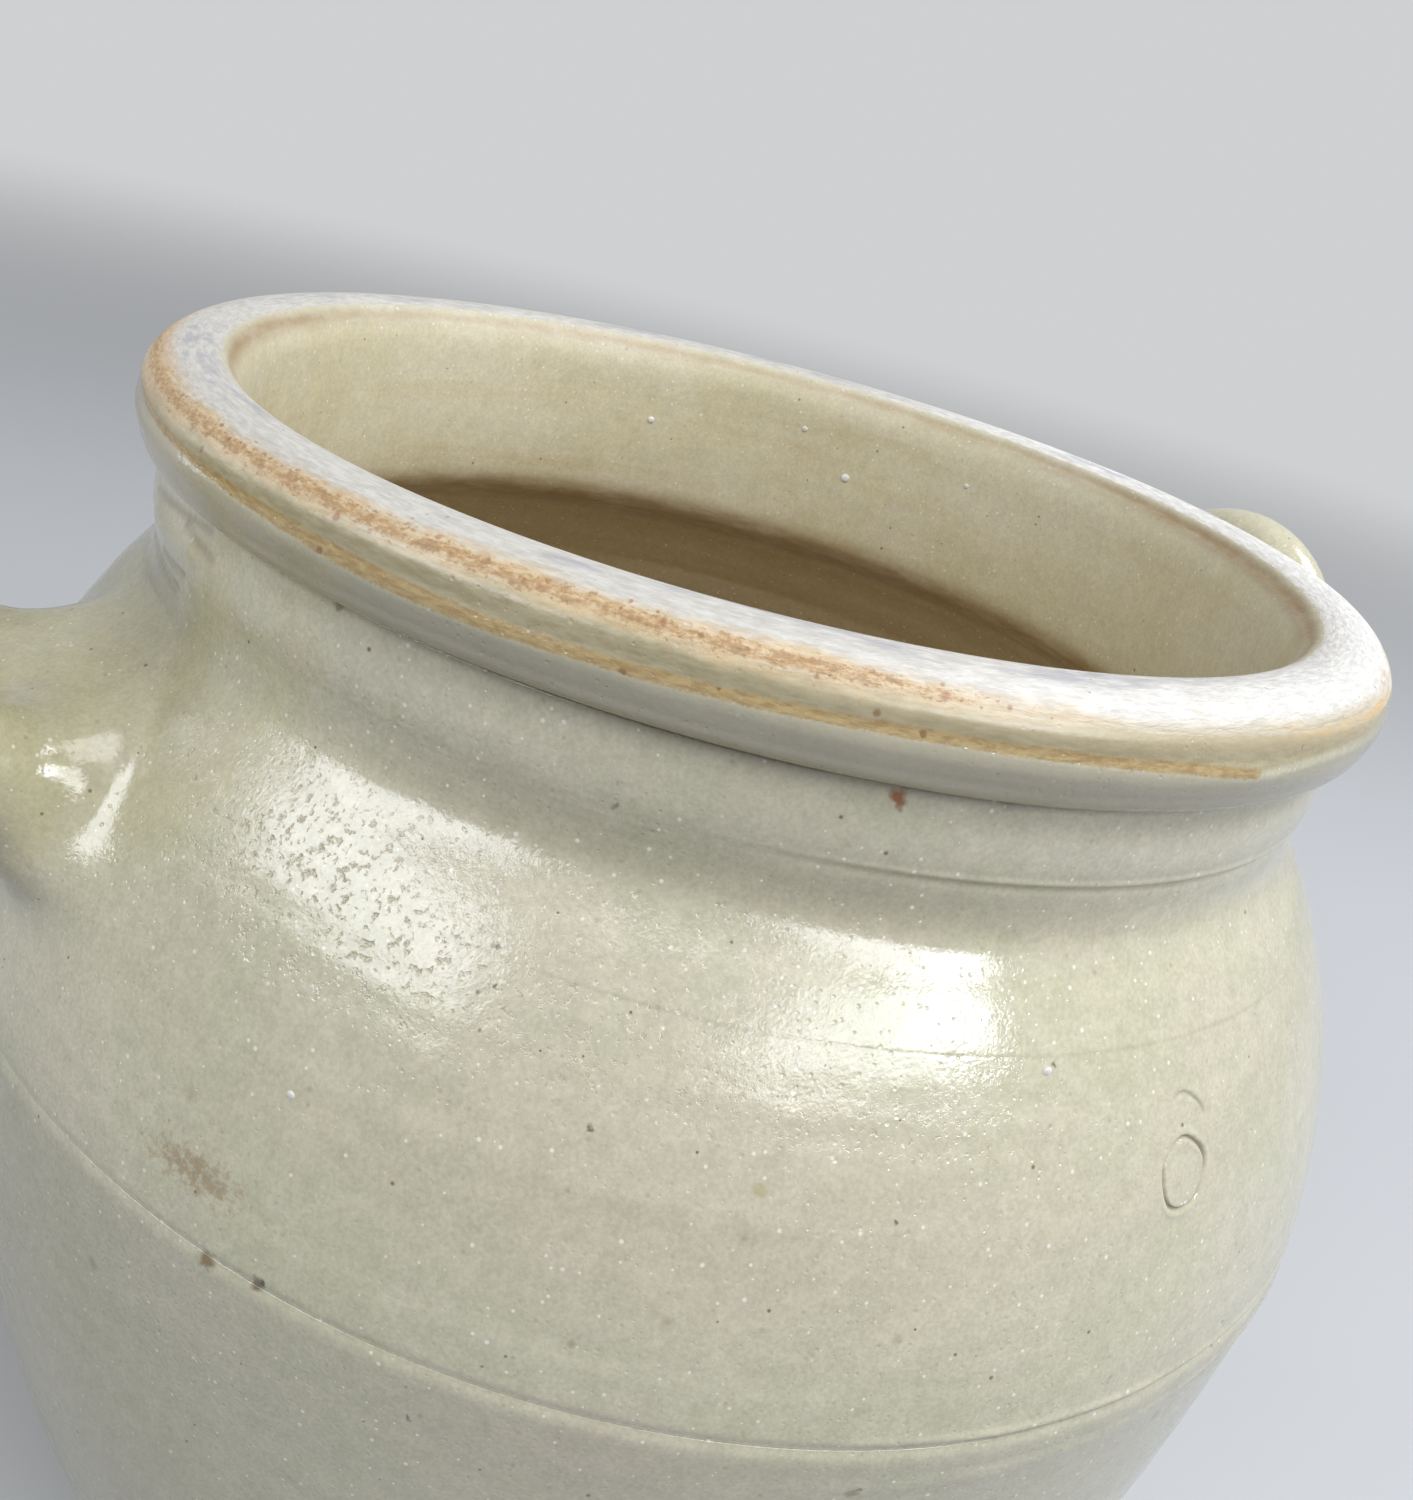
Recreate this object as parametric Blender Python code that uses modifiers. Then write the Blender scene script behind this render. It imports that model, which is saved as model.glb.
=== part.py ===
# Stoneware grease pot: a bulbous jar with a thick rolled rim, thrown in two
# halves that are luted together at the belly, and two raised loop handles.
# Metres, +Z up. The origin is the middle of the base. The handles stand on the X axis.
import math

import bmesh
import bpy
from mathutils import Matrix, Vector
from mathutils.geometry import interpolate_bezier

# Driving sizes of the body. The seam lies on top of the lower half.
lower_half_height = 0.1476
upper_half_height = 0.0884
belly_radius = 0.120
base_radius = 0.084
wall_thickness = 0.008
floor_thickness = 0.009
floor_fillet = 0.006
foot_chamfer = 0.003

# Driving sizes of the rim and the neck
rim_outer_radius = 0.100
rim_width = 0.015
rim_height = 0.0154
rim_overhang = 0.0045
neck_wall = 0.0092
neck_drop = 0.019
neck_inner_drop = 0.029

# Driving sizes of the seam between the halves
seam_step = 0.003
seam_chamfer = 0.0006
clearance = 0.0003

# Driving sizes of a handle
handle_root_drop = 0.043
handle_top_drop = 0.004
handle_standoff = 0.0217
handle_half_spread = 0.0184
handle_coil_radius = 0.008
root_sink = 0.006
root_pad_depth = 0.011
root_pad_half_width = 0.027
root_pad_half_height = 0.015

# How finely round shapes are cut, and how near two points are before they are one
turn_steps = 64
coil_steps = 3
coil_bevel_steps = 4
pad_segments = 24
pad_rings = 12
merge_distance = 0.0001
curve_points = 9
rim_points = 14

# Places that follow from the driving sizes
seam_height = lower_half_height
pot_height = lower_half_height + upper_half_height
rim_half_width = rim_width / 2
rim_half_height = rim_height / 2
rim_centre_radius = rim_outer_radius - rim_half_width
rim_centre_height = pot_height - rim_half_height
neck_radius = rim_outer_radius - rim_overhang
neck_inner_radius = neck_radius - neck_wall
belly_inner_radius = belly_radius - wall_thickness
neck_foot_height = rim_centre_height - neck_drop
neck_inner_foot_height = rim_centre_height - neck_inner_drop
shoulder_height = neck_foot_height - seam_height
step_radius = belly_radius - wall_thickness / 2
handle_root_height = rim_centre_height - handle_root_drop

# Bezier handles of the outlines, as shares of the stretch that each one spans
shoulder_top_pull_share = 0.19
shoulder_low_pull_share = 0.52
inner_shoulder_out_share = 0.33
inner_shoulder_drop_share = 0.16
inner_belly_rise_share = 0.50
lower_wall_swell_share = 1.01
lower_wall_height_share = 0.61
lower_turn_radius_share = 0.44
lower_turn_height_share = 0.24

# Half of a handle's centre line, from its root to its top. Each row gives the
# shares of the reach, the half spread, the rise and the coil's radius.
half_loop_shares = (
    (-0.28, 0.74, 0.00, 1.40),
    (0.18, 0.80, 0.03, 1.27),
    (0.53, 0.90, 0.14, 1.14),
    (0.76, 1.00, 0.35, 1.05),
    (0.88, 1.00, 0.60, 1.00),
    (0.95, 0.79, 0.84, 0.97),
    (0.99, 0.42, 0.96, 0.96),
    (1.00, 0.00, 1.00, 0.96),
)


def clear_scene():
    for old in list(bpy.data.objects):
        bpy.data.objects.remove(old, do_unlink=True)


def new_collection(name):
    collection = bpy.data.collections.new(name)
    bpy.context.scene.collection.children.link(collection)
    return collection


def glaze(name, colour, roughness):
    material = bpy.data.materials.new(name)
    material.use_nodes = True
    shader = material.node_tree.nodes["Principled BSDF"]
    shader.inputs["Base Color"].default_value = (*colour, 1)
    shader.inputs["Roughness"].default_value = roughness
    shader.inputs["Metallic"].default_value = 0
    return material


def bezier(start, start_pull, end_pull, end):
    """Points of one Bezier stretch in the (radius, height) plane."""
    corners = [Vector((radius, height, 0)) for radius, height in (start, start_pull, end_pull, end)]
    return [(point.x, point.y) for point in interpolate_bezier(*corners, curve_points)]


def rim_outline():
    """The rolled rim, from the mouth over the crown and out to the neck."""
    neck_reach = (neck_radius - rim_centre_radius) / rim_half_width
    last_angle = -math.acos(neck_reach)
    points = []
    for step in range(rim_points + 1):
        angle = math.pi + (last_angle - math.pi) * step / rim_points
        radius = rim_centre_radius + rim_half_width * math.cos(angle)
        height = rim_centre_height + rim_half_height * math.sin(angle)
        points.append((radius, height))
    return points


def shoulder_outline():
    """The outer wall from the foot of the neck down to the belly seam."""
    top_pull = neck_foot_height - shoulder_height * shoulder_top_pull_share
    low_pull = seam_height + shoulder_height * shoulder_low_pull_share
    return bezier(
        (neck_radius, neck_foot_height),
        (neck_radius, top_pull),
        (belly_radius, low_pull),
        (belly_radius, seam_height + clearance + seam_chamfer),
    )


def inner_shoulder_outline():
    """The inner wall from the seam up to the foot of the neck."""
    widening = belly_inner_radius - neck_inner_radius
    rise = neck_inner_foot_height - seam_height
    low_pull = seam_height + rise * inner_belly_rise_share
    top_pull_radius = neck_inner_radius + widening * inner_shoulder_out_share
    top_pull_height = neck_inner_foot_height - rise * inner_shoulder_drop_share
    return bezier(
        (belly_inner_radius, seam_height + seam_step + clearance),
        (belly_inner_radius, low_pull),
        (top_pull_radius, top_pull_height),
        (neck_inner_radius, neck_inner_foot_height),
    )


def lower_turn():
    """The pull of the lower wall where it turns in towards the foot."""
    radius = base_radius + (belly_radius - base_radius) * lower_turn_radius_share
    return radius, seam_height * lower_turn_height_share


def lower_wall_outline():
    """The outer wall from the belly seam down to the foot."""
    return bezier(
        (belly_radius, seam_height - seam_chamfer),
        (belly_radius * lower_wall_swell_share, seam_height * lower_wall_height_share),
        lower_turn(),
        (base_radius, foot_chamfer),
    )


def lower_inner_outline():
    """The inner wall from the floor up to the belly seam."""
    turn_radius, turn_height = lower_turn()
    wall = bezier(
        (base_radius - floor_fillet, floor_thickness + floor_fillet),
        (turn_radius - wall_thickness, turn_height),
        (belly_radius * lower_wall_swell_share - wall_thickness, seam_height * lower_wall_height_share),
        (belly_inner_radius, seam_height + seam_step),
    )
    return [(base_radius - floor_fillet * 2, floor_thickness)] + wall


def upper_profile():
    """A closed outline: up the inside, over the rim and down the outside."""
    seam_face = seam_height + clearance
    step_face = seam_face + seam_step
    profile = inner_shoulder_outline() + rim_outline() + shoulder_outline()
    profile.append((belly_radius - seam_chamfer, seam_face))
    profile.append((step_radius, seam_face))
    profile.append((step_radius, step_face))
    return profile


def lower_profile():
    """An open outline from the axis at the floor to the axis under the base."""
    step_foot_radius = step_radius - clearance
    profile = [(0, floor_thickness)] + lower_inner_outline()
    profile.append((step_foot_radius, seam_height + seam_step))
    profile.append((step_foot_radius, seam_height))
    profile.append((belly_radius - seam_chamfer, seam_height))
    profile += lower_wall_outline()
    profile.append((base_radius - foot_chamfer, 0))
    profile.append((0, 0))
    return profile


def shoulder_radius_at(height):
    """The outer radius of the shoulder at a height."""
    outline = shoulder_outline()
    for upper, lower in zip(outline, outline[1:]):
        if lower[1] <= height <= upper[1]:
            share = (height - lower[1]) / (upper[1] - lower[1])
            return lower[0] + (upper[0] - lower[0]) * share
    return belly_radius


def turned(name, profile, closed, collection, material):
    """A profile in the XZ plane, turned round the Z axis."""
    mesh = bpy.data.meshes.new(name)
    count = len(profile)
    edges = [(index, index + 1) for index in range(count - 1)]
    if closed:
        edges.append((count - 1, 0))
    mesh.from_pydata([(radius, 0, height) for radius, height in profile], edges, [])
    turned_object = bpy.data.objects.new(name, mesh)
    collection.objects.link(turned_object)
    screw = turned_object.modifiers.new("turn", "SCREW")
    screw.angle = math.tau
    screw.steps = turn_steps
    screw.render_steps = turn_steps
    screw.use_merge_vertices = True
    screw.merge_threshold = merge_distance
    screw.use_smooth_shade = True
    if material:
        mesh.materials.append(material)
    return turned_object


def body_envelope(collection):
    """The body's outer shape with the clearance added, which trims the handles."""
    outline = [(neck_radius, rim_centre_height)] + shoulder_outline() + lower_wall_outline()
    profile = [(0, rim_centre_height)]
    for index, (radius, height) in enumerate(outline):
        before = outline[max(index - 1, 0)]
        after = outline[min(index + 1, len(outline) - 1)]
        run = Vector((after[0] - before[0], after[1] - before[1])).normalized()
        profile.append((radius - run.y * clearance, height + run.x * clearance))
    profile.append((0, profile[-1][1]))
    envelope = turned("body_envelope", profile, False, collection, None)
    mark_as_cutter(envelope)
    return envelope


def mark_as_cutter(cutter):
    cutter.hide_render = True
    cutter.display_type = "WIRE"


def handle_centre_line():
    """Points along a handle that stands on +X, each with its coil radius."""
    rise = handle_root_drop - handle_top_drop
    root_radius = shoulder_radius_at(handle_root_height)
    half = []
    for reach_share, spread_share, rise_share, coil_share in half_loop_shares:
        x = root_radius + handle_standoff * reach_share
        y = handle_half_spread * spread_share
        z = handle_root_height + rise * rise_share
        half.append((x, y, z, handle_coil_radius * coil_share))
    other_half = [(x, -y, z, radius) for x, y, z, radius in reversed(half[:-1])]
    return half + other_half


def coil_curve(name):
    """The bent coil of clay, as a thick curve."""
    points = handle_centre_line()
    curve = bpy.data.curves.new(name, "CURVE")
    curve.dimensions = "3D"
    curve.resolution_u = coil_steps
    curve.bevel_depth = handle_coil_radius
    curve.bevel_resolution = coil_bevel_steps
    curve.use_fill_caps = True
    spline = curve.splines.new("BEZIER")
    spline.bezier_points.add(len(points) - 1)
    for knot, (x, y, z, radius) in zip(spline.bezier_points, points):
        knot.co = (x, y, z)
        knot.radius = radius / handle_coil_radius
        knot.handle_left_type = "AUTO"
        knot.handle_right_type = "AUTO"
    return curve


def closed_mesh(curve):
    """A curve's evaluated mesh, with its end caps welded on."""
    guide = bpy.data.objects.new(curve.name, curve)
    bpy.context.scene.collection.objects.link(guide)
    evaluated = guide.evaluated_get(bpy.context.evaluated_depsgraph_get())
    mesh = bpy.data.meshes.new_from_object(evaluated)
    bpy.data.objects.remove(guide, do_unlink=True)
    work = bmesh.new()
    work.from_mesh(mesh)
    bmesh.ops.remove_doubles(work, verts=work.verts, dist=merge_distance)
    bmesh.ops.recalc_face_normals(work, faces=work.faces)
    work.to_mesh(mesh)
    work.free()
    return mesh


def root_pad(name, azimuth, collection):
    """The thumbed pad of clay that joins a handle's two legs at the shoulder."""
    place = Matrix.Translation((shoulder_radius_at(handle_root_height) - root_sink, 0, handle_root_height))
    stretch = Matrix.Diagonal((root_pad_depth, root_pad_half_width, root_pad_half_height, 1))
    work = bmesh.new()
    bmesh.ops.create_uvsphere(
        work, u_segments=pad_segments, v_segments=pad_rings, radius=1, matrix=place @ stretch
    )
    mesh = bpy.data.meshes.new(name)
    work.to_mesh(mesh)
    work.free()
    pad = bpy.data.objects.new(name, mesh)
    pad.rotation_euler = (0, 0, azimuth)
    collection.objects.link(pad)
    mark_as_cutter(pad)
    return pad


def add_boolean(target, cutter, operation):
    boolean = target.modifiers.new(operation.lower(), "BOOLEAN")
    boolean.object = cutter
    boolean.operation = operation
    boolean.solver = "EXACT"


def build_handle(name, azimuth, parts, cutters, envelope, material):
    handle = bpy.data.objects.new(name, closed_mesh(coil_curve(name)))
    handle.rotation_euler = (0, 0, azimuth)
    parts.objects.link(handle)
    handle.data.materials.append(material)
    handle.data.shade_smooth()
    pad = root_pad(name + "_pad", azimuth, cutters)
    add_boolean(handle, pad, "UNION")
    add_boolean(handle, envelope, "DIFFERENCE")
    return handle


def build_pot():
    clear_scene()
    parts = new_collection("grease_pot")
    cutters = new_collection("cutters")
    body_glaze = (0.53, 0.51, 0.40)
    turned("upper_body", upper_profile(), True, parts, glaze("upper_glaze", body_glaze, 0.3))
    turned("lower_body", lower_profile(), False, parts, glaze("lower_glaze", body_glaze, 0.3))
    envelope = body_envelope(cutters)
    handle_glaze = (0.49, 0.47, 0.33)
    for name, azimuth in (("handle_left", math.pi), ("handle_right", 0)):
        material = glaze(name + "_glaze", handle_glaze, 0.28)
        build_handle(name, azimuth, parts, cutters, envelope, material)


build_pot()
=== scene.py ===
"""Looks of a salt-glazed stoneware grease pot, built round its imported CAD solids.

Metres, +Z up, the pot's turning axis on Z. A side is a place round the pot, in degrees
from the camera's side, positive towards the image's right. A share is a height in rim
radii above the rim's middle.
"""

import math

import bpy
import numpy as np
from mathutils import Matrix, Vector


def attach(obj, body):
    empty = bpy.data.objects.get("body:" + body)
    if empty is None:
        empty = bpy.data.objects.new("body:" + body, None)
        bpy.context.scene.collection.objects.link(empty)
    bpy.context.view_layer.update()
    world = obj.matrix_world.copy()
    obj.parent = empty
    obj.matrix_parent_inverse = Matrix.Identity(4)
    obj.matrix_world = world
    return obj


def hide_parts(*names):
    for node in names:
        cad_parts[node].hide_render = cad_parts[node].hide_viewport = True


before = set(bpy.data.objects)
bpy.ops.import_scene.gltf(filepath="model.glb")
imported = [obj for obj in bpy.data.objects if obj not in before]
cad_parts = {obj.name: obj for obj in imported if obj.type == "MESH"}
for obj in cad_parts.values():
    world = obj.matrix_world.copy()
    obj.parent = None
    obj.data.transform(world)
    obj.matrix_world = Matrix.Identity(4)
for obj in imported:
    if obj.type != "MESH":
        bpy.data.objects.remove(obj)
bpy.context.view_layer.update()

# Sizes shared with the CAD solids
RIM = 0.100
RIM_HEIGHT = 0.2283
SEAM = 0.14775
SEAM_GAP = 0.00001
STEP_RISE = 0.003
STEP_RADIUS = 0.116
LAP_RADIUS = 0.1175
FLOOR_TOP = 0.009
# The rolled rim's bead: its middle and its half sizes, in rim radii
BEAD_RADIUS = 0.925
BEAD_HALF_WIDTH = 0.075
BEAD_HALF_HEIGHT = 0.077
CAMERA_SIDE = math.radians(233.5)

# The outer wall from the neck down, measured from the rim's middle, in rim radii
WALL_DOWN = (
    (-0.060, 0.9530), (-0.100, 0.9570), (-0.140, 0.9620), (-0.175, 0.9585), (-0.220, 0.9545),
    (-0.250, 0.9600), (-0.276, 0.9740), (-0.300, 0.9930), (-0.360, 1.0370), (-0.460, 1.0970),
    (-0.580, 1.1490), (-0.700, 1.1830), (-0.805, 1.1990), (-0.950, 1.1960), (-1.100, 1.1840),
    (-1.300, 1.1600),
)
# Bezier corners, as radius and height
LOWER_WALL = ((0.120, 0.147), (0.1212, 0.0900), (0.09984, 0.0354), (0.084, 0.003))
LOWER_INSIDE = ((0.078, 0.015), (0.09184, 0.0354), (0.1132, 0.0900), (0.112, 0.1506))
UPPER_INSIDE = ((0.112, 0.1509), (0.112, 0.1751), (0.09478, 0.1915), (0.0863, 0.1993))
# The rim's section, from the inner shoulder over the crown to the outer neck
RIM_LINE = (
    (0.9120, -0.3370), (0.8830, -0.3100), (0.8680, -0.2820), (0.8610, -0.2450), (0.8560, -0.1900),
    (0.8525, -0.1100), (0.8515, -0.0400),
    (0.8535, 0.0120), (0.8600, 0.0390), (0.8700, 0.0550), (0.8840, 0.0660), (0.9010, 0.0735),
    (0.9250, 0.0770), (0.9500, 0.0728), (0.9720, 0.0600), (0.9885, 0.0405), (0.9972, 0.0190),
    (1.0000, -0.0010), (0.9985, -0.0200), (0.9940, -0.0380), (0.9880, -0.0510), (0.9820, -0.0575),
    (0.9730, -0.0600), (0.9620, -0.0594), (0.9530, -0.0600), (0.9490, -0.0640), (0.9505, -0.0680),
)


def rgb(red, green, blue):
    """A display colour, 0 to 255, as linear values."""
    shares = [channel / 255 for channel in (red, green, blue)]
    return tuple(v / 12.92 if v <= 0.04045 else ((v + 0.055) / 1.055) ** 2.4 for v in shares)


def spline(knots, values, at):
    """A natural cubic spline through the values at rising knots."""
    knots = np.asarray(knots, float)
    values = np.asarray(values, float)
    gap = np.diff(knots)
    slope = np.diff(values, axis=0) / (gap if values.ndim == 1 else gap[:, None])
    count = len(knots)
    system = np.eye(count)
    right = np.zeros_like(values)
    for i in range(1, count - 1):
        system[i, i - 1:i + 2] = gap[i - 1], 2 * (gap[i - 1] + gap[i]), gap[i]
        right[i] = 6 * (slope[i] - slope[i - 1])
    bend = np.linalg.solve(system, right)
    at = np.asarray(at, float)
    k = np.clip(np.searchsorted(knots, at) - 1, 0, count - 2)
    width = gap[k]
    after = (at - knots[k]) / width
    before = 1 - after
    if values.ndim > 1:
        width, after, before = width[..., None], after[..., None], before[..., None]
    curve = (before ** 3 - before) * bend[k] + (after ** 3 - after) * bend[k + 1]
    return before * values[k] + after * values[k + 1] + curve * width ** 2 / 6


def bezier(corners, steps):
    """Points along a cubic Bezier curve."""
    t = np.linspace(0, 1, steps)[:, None]
    a, b, c, d = (np.array(corner) for corner in corners)
    return a * (1 - t) ** 3 + 3 * b * t * (1 - t) ** 2 + 3 * c * t * t * (1 - t) + d * t ** 3


def smooth(low, high, value):
    """Zero at low rising to one at high, or falling where high is the lower one."""
    t = np.clip((value - low) / (high - low), 0, 1)
    return t * t * (3 - 2 * t)


def bell(value, centre, width):
    """One at the centre, falling away on both sides."""
    return np.exp(-((value - centre) / width) ** 2)


def span(value, low, high, soft):
    """One between low and high, falling to zero over a soft edge on each side."""
    return smooth(low - soft, low + soft, value) * (1 - smooth(high - soft, high + soft, value))


def ripple(turn, run, seed, count, most_turns, shortest, longest):
    """A smooth random relief between about -1 and 1, seamless round the pot."""
    rng = np.random.default_rng(seed)
    total = 0
    for _ in range(count):
        turns = int(rng.integers(-most_turns, most_turns + 1))
        wave = math.tau / rng.uniform(shortest, longest)
        total = total + np.cos(turns * turn + wave * run + rng.uniform(0, math.tau))
    return total / math.sqrt(count)


def side_degrees(turn):
    """Degrees from the camera's side."""
    return (np.degrees(turn - CAMERA_SIDE) + 180) % 360 - 180


def rim_share(height):
    """A height in metres as rim radii above the rim's middle."""
    return (height - RIM_HEIGHT) / RIM


wall_low = bezier(LOWER_WALL, 21)[::-1]
wall_low = wall_low[wall_low[:, 1] < 0.088]
wall_top = np.array(WALL_DOWN)[::-1]
WALL_HEIGHTS = np.concatenate([wall_low[:, 1], RIM_HEIGHT + RIM * wall_top[:, 0]])
WALL_RADII = np.concatenate([wall_low[:, 0], RIM * wall_top[:, 1]])


def seam_wave(turn):
    """How far the luted seam wanders up or down round the pot."""
    side = side_degrees(turn)
    wave = 0.0004 * np.sin(2 * turn + 0.4)
    return wave + 0.0018 * bell(side, 56, 20) + 0.0004 * bell(side, -30, 12)


# How far over and under the seam its wander fades out
SEAM_WAVE_REACH = 0.012
# Circles pressed into the wall: side, share, and radius in metres
FULL_RING = (41.17, -0.506, 0.0041)
PART_RING = (41.30, -0.458, 0.0041)
RING_DEPTH = 0.00048
# The wall's radius by the circles and over the shoulder, to turn degrees into lengths
WALL_BY_RINGS = 0.109
WALL_BY_STROKES = 1.09


def ring_place(side, share, ring):
    """How far a place is from a pressed circle's line, and its way round the circle."""
    across = np.radians(side - ring[0]) * WALL_BY_RINGS
    along = (share - ring[1]) * RIM
    way = np.arctan2(along, across)
    uneven = 0.00012 * np.sin(3 * way + 1) + 0.00008 * np.sin(5 * way)
    return np.hypot(across, along) - ring[2] - uneven, way


def ring_groove(side, share, ring, deep):
    """The circle's own groove, 0 to 1."""
    off, way = ring_place(side, share, ring)
    return bell(off, 0, 0.00021) * deep(way)


def ring_mark(side, share, ring, deep):
    """A circle pressed into the clay, with the clay pushed up beside it."""
    off, way = ring_place(side, share, ring)
    lip = 0.30 * bell(off, 0.0007, 0.0004) + 0.25 * bell(off, -0.0006, 0.0004) * (np.sin(way) > 0)
    return RING_DEPTH * (lip * deep(way) - ring_groove(side, share, ring, deep))


def full_ring(way):
    """How deep the whole circle is, all the way round."""
    return 0.70 + 0.38 * np.cos(2 * (way - 0.9)) + 0.15 * np.sin(5 * way)


def part_ring(way):
    """The broken circle above it shows only as an arc."""
    return 0.55 * span(way, 0.35, 1.9, 0.35)


def faint_line(side):
    """Where the fine scored line round the shoulder shows, broken here and there."""
    gaps = 0.75 + 0.25 * np.sin(side * 0.9) * np.sin(side * 0.37 + 1)
    return (0.15 + 0.85 * span(side, -12, 56, 9)) * gaps


def stroke(side, share, start, end, width):
    """Nearness, 0 to 1, to a short stroke between two (side, share) places."""
    scale = WALL_BY_STROKES * math.radians(1)
    ax, ay = start[0] * scale, start[1]
    bx, by = end[0] * scale, end[1]
    px, py = side * scale, share
    length = (bx - ax) ** 2 + (by - ay) ** 2
    t = np.clip(((px - ax) * (bx - ax) + (py - ay) * (by - ay)) / length, 0, 1)
    return np.exp(-(np.hypot(px - ax - t * (bx - ax), py - ay - t * (by - ay)) / width) ** 2)


# Smears of clay from the rim down to the near handle: start and end as (side, share),
# width in rim radii and relief in metres
SMEARS = (
    ((-60, -0.118), (-44.0, -0.086), 0.0100, -0.00022),
    ((-49, -0.107), (-42.9, -0.117), 0.0100, -0.00012),
    ((-63, -0.205), (-50.0, -0.210), 0.0085, -0.00034),
    ((-55, -0.184), (-48.0, -0.176), 0.0070, -0.00026),
    ((-58, -0.150), (-47.0, -0.130), 0.0190, 0.00040),
)
# A short scratch beside the whole circle
SCRATCH = ((36.7, -0.620), (44.2, -0.634))


def wall_relief(turn, height):
    """How far the thrown wall stands out from its plain section, in metres."""
    side = side_degrees(turn)
    share = rim_share(height)
    above = height - SEAM
    crease = 0.00020 * (0.10 + 0.90 * span(side, 14, 72, 12))
    wander = 0.003 * np.sin(3 * turn + 1)
    wrinkle = span(side, -24, 4, 8) * (0.5 + 0.5 * ripple(turn, height, 51, 14, 4, 0.004, 0.02))
    rough = span(side, 22, 62, 7)
    uneven = 1 + 0.35 * ripple(turn, height, 11, 14, 60, 0.02, 0.2)
    low_ridge = -0.0062 + 0.00007 * np.clip(side - 22, 0, 60)
    return (
        0.00018 * ripple(turn, height, 3, 7, 3, 0.08, 0.30)
        + 0.000035 * ripple(turn, height, 5, 9, 1, 0.0035, 0.011)
        # The crease and the fine wrinkles in the neck's hollow
        + crease * bell(share, -0.173 + wander, 0.0045)
        - crease * bell(share, -0.183 + wander, 0.006)
        - 0.00007 * wrinkle * (bell(share, -0.192, 0.003) + bell(share, -0.206, 0.003))
        # The scored line, the pressed circles, the scratch and the smears
        - 0.00003 * bell(share, -0.3586, 0.0019) * faint_line(side)
        + ring_mark(side, share, FULL_RING, full_ring)
        + ring_mark(side, share, PART_RING, part_ring)
        - 0.00006 * stroke(side, share, *SCRATCH, 0.003)
        + sum(deep * stroke(side, share, *smear) for *smear, deep in SMEARS)
        # The ridges of clay pushed up over and under the luted seam
        + 0.00022 * bell(above, -0.0024, 0.0017) * (1 + 0.35 * rough * (uneven - 1))
        + 0.00024 * rough * uneven * bell(above, 0.0012, 0.0007)
        + 0.00032 * rough * uneven * bell(above, low_ridge, 0.0009)
    )


def wall_radius(turn, height):
    """The outer wall's radius, relief and all."""
    flat = spline(WALL_HEIGHTS, WALL_RADII, np.clip(height, WALL_HEIGHTS[0], WALL_HEIGHTS[-1]))
    return flat + wall_relief(turn, height)


def turn_steps(coarse, fine):
    """Angles round the pot, finer where there is small relief."""
    steps = [np.arange(-180, 180, coarse)]
    for low, high, step in fine:
        steps[0] = steps[0][(steps[0] < low) | (steps[0] > high)]
        steps.append(np.arange(low, high, step))
    return np.radians(np.sort(np.concatenate(steps))) + CAMERA_SIDE


def runs(stretches):
    """Falling heights, from (from, to, step) stretches."""
    return np.concatenate([np.arange(high, low, -step) for high, low, step in stretches])


def traced(points, spacing):
    """Evenly spaced points on the smooth curve through some points."""
    points = np.asarray(points, float)
    reach = np.concatenate([[0], np.cumsum(np.hypot(*np.diff(points, axis=0).T))])
    fine = spline(reach, points, np.linspace(0, reach[-1], 4000))
    length = np.concatenate([[0], np.cumsum(np.hypot(*np.diff(fine, axis=0).T))])
    at = np.linspace(0, length[-1], max(2, int(length[-1] / spacing)))
    return np.stack([np.interp(at, length, fine[:, 0]), np.interp(at, length, fine[:, 1])], 1)


def mesh_object(name, points, faces, masks, material):
    """A smooth-shaded object that carries the masks on its points."""
    mesh = bpy.data.meshes.new(name)
    mesh.from_pydata(points.tolist(), [], faces)
    for mask, values in masks.items():
        attribute = mesh.attributes.new(mask, "FLOAT", "POINT")
        attribute.data.foreach_set("value", np.asarray(values, np.float32).ravel())
    mesh.materials.append(material)
    mesh.shade_smooth()
    made = bpy.data.objects.new(name, mesh)
    bpy.context.scene.collection.objects.link(made)
    return made


def ring_faces(rows, columns, wrap_rows):
    """Quads between the rows of a turned mesh."""
    here = np.arange(rows if wrap_rows else rows - 1)[:, None] * columns
    below = (here + columns) % (rows * columns)
    column = np.arange(columns)[None, :]
    after = (column + 1) % columns
    quads = np.stack([here + column, here + after, below + after, below + column], -1)
    return quads.reshape(-1, 4)


def signed_volume(points, quads):
    """Six times the enclosed volume, negative where the faces point inward."""
    a, b, c, d = (points[quads[:, i]] for i in range(4))
    return (np.cross(b - a, c - a) * a).sum() + (np.cross(c - a, d - a) * a).sum()


KINDS = ("plain", "wall", "rim", "inside")


def section(radius, height, kind="plain", out=1.0, up=0.0):
    """Rows of a turned body: radius, height, kind, and the way out for its relief."""
    columns = np.broadcast_arrays(radius, height, KINDS.index(kind), out, up)
    return np.stack([np.ravel(column).astype(float) for column in columns], 1)


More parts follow.
